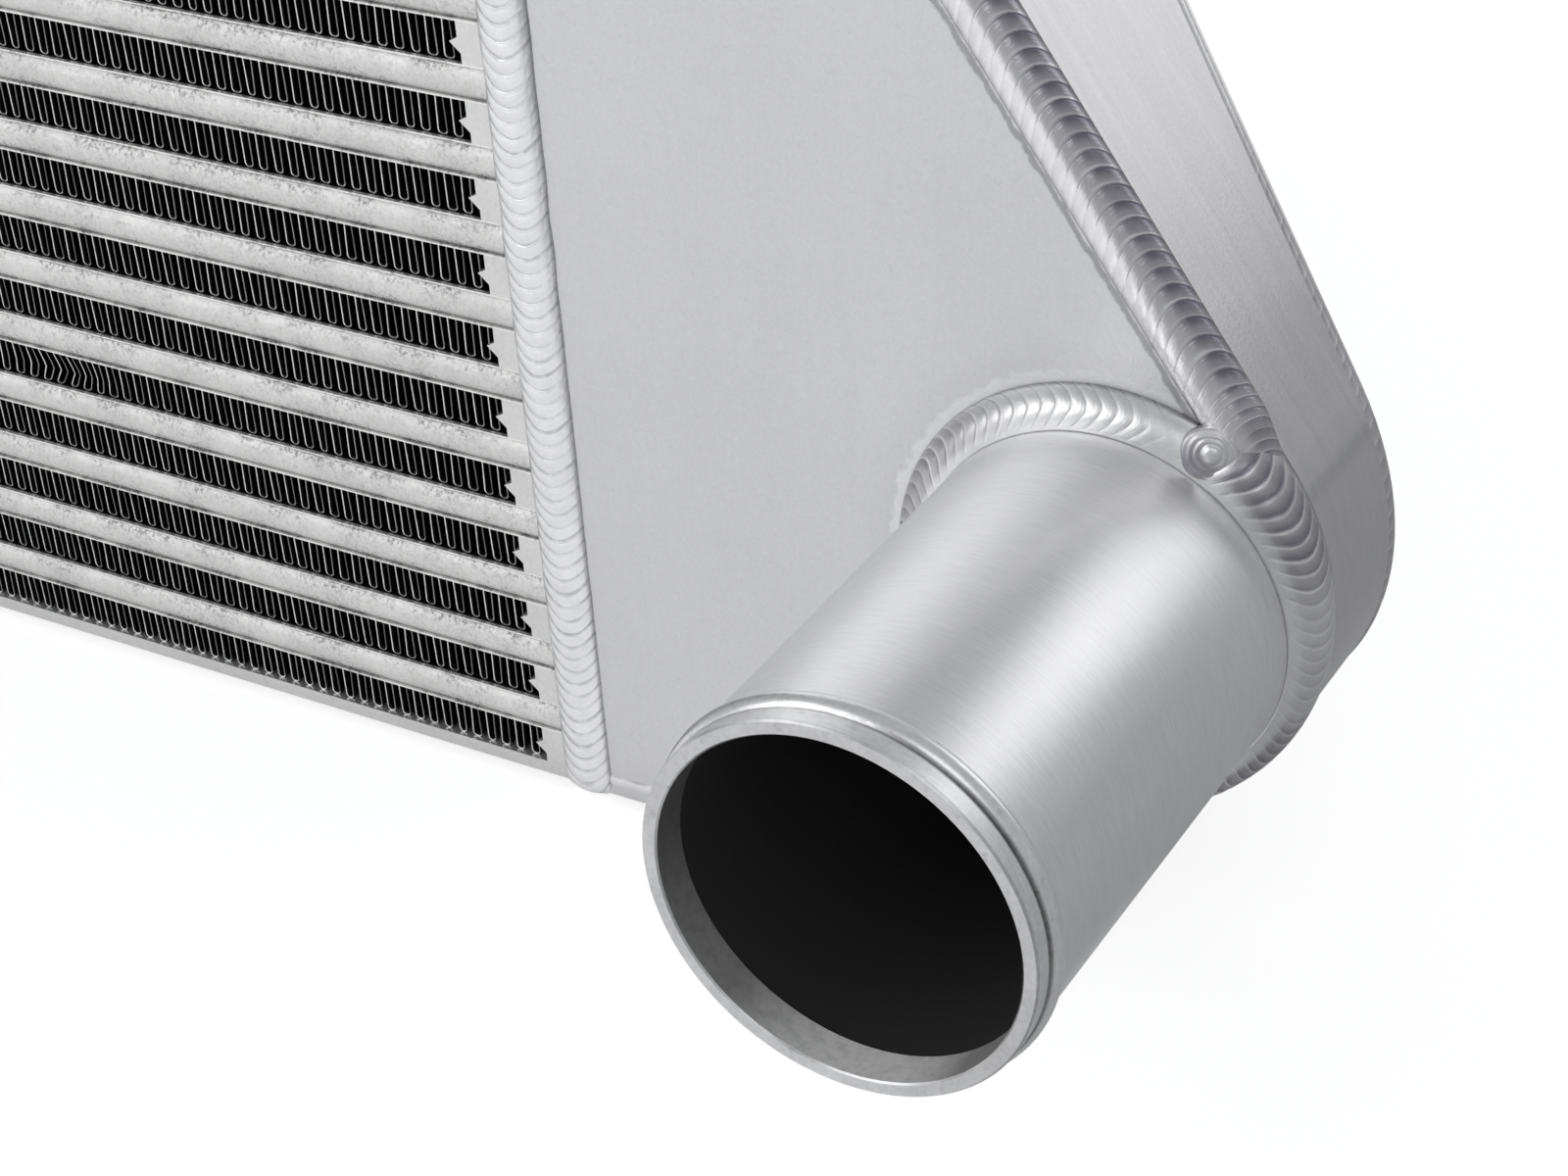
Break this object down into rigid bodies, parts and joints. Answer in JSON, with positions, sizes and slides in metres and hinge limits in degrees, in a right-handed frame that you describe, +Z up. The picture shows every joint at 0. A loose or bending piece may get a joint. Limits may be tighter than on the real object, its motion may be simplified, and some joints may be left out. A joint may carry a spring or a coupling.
{
  "type": "intercooler",
  "caption": "Bar-and-plate intercooler: finned brick core with a welded tapering end tank each side and a beaded hose port facing forward from each.",
  "frame": {"origin": "centre of the underside of the whole part, on the surface it stands on", "axes": "+X along the core towards the tank with the right-hand port as seen from the front, -Y out of the front face, the way the ports point, +Z up"},
  "size_m": [0.9056, 0.2084, 0.3042],
  "materials": {
    "cooling_fins": "thin folded foil, bright cut edges",
    "brazed_bars": "furnace-brazed, mottled matt",
    "tank_sheet": "bead-blasted satin sheet",
    "turned_tube": "turned and brushed satin",
    "weld_bead": "rippled TIG bead, semi-bright"
  },
  "bodies": {
    "root": {"fin_row_01": "cooling_fins", "fin_row_02": "cooling_fins", "fin_row_03": "cooling_fins", "fin_row_04": "cooling_fins", "fin_row_05": "cooling_fins", "fin_row_06": "cooling_fins", "fin_row_07": "cooling_fins", "fin_row_08": "cooling_fins", "fin_row_09": "cooling_fins", "fin_row_10": "cooling_fins", "fin_row_11": "cooling_fins", "fin_row_12": "cooling_fins", "fin_row_13": "cooling_fins", "fin_row_14": "cooling_fins", "fin_row_15": "cooling_fins", "fin_row_16": "cooling_fins", "fin_row_17": "cooling_fins", "fin_row_18": "cooling_fins", "charge_passage_01": "brazed_bars", "charge_passage_02": "brazed_bars", "charge_passage_03": "brazed_bars", "charge_passage_04": "brazed_bars", "charge_passage_05": "brazed_bars", "charge_passage_06": "brazed_bars", "charge_passage_07": "brazed_bars", "charge_passage_08": "brazed_bars", "charge_passage_09": "brazed_bars", "charge_passage_10": "brazed_bars", "charge_passage_11": "brazed_bars", "charge_passage_12": "brazed_bars", "charge_passage_13": "brazed_bars", "charge_passage_14": "brazed_bars", "charge_passage_15": "brazed_bars", "charge_passage_16": "brazed_bars", "charge_passage_17": "brazed_bars", "end_bars_left": "brazed_bars", "end_bars_right": "brazed_bars", "side_plate_bottom": "brazed_bars", "side_plate_top": "brazed_bars", "tank_front_left": "tank_sheet", "tank_rear_left": "tank_sheet", "tank_wrap_left": "tank_sheet", "port_tube_left": "turned_tube", "core_weld_left": "weld_bead", "front_edge_weld_left": "weld_bead", "rear_edge_weld_left": "weld_bead", "port_weld_left": "weld_bead", "tank_front_right": "tank_sheet", "tank_rear_right": "tank_sheet", "tank_wrap_right": "tank_sheet", "port_tube_right": "turned_tube", "core_weld_right": "weld_bead", "front_edge_weld_right": "weld_bead", "rear_edge_weld_right": "weld_bead", "port_weld_right": "weld_bead"}
  },
  "joints": []
}
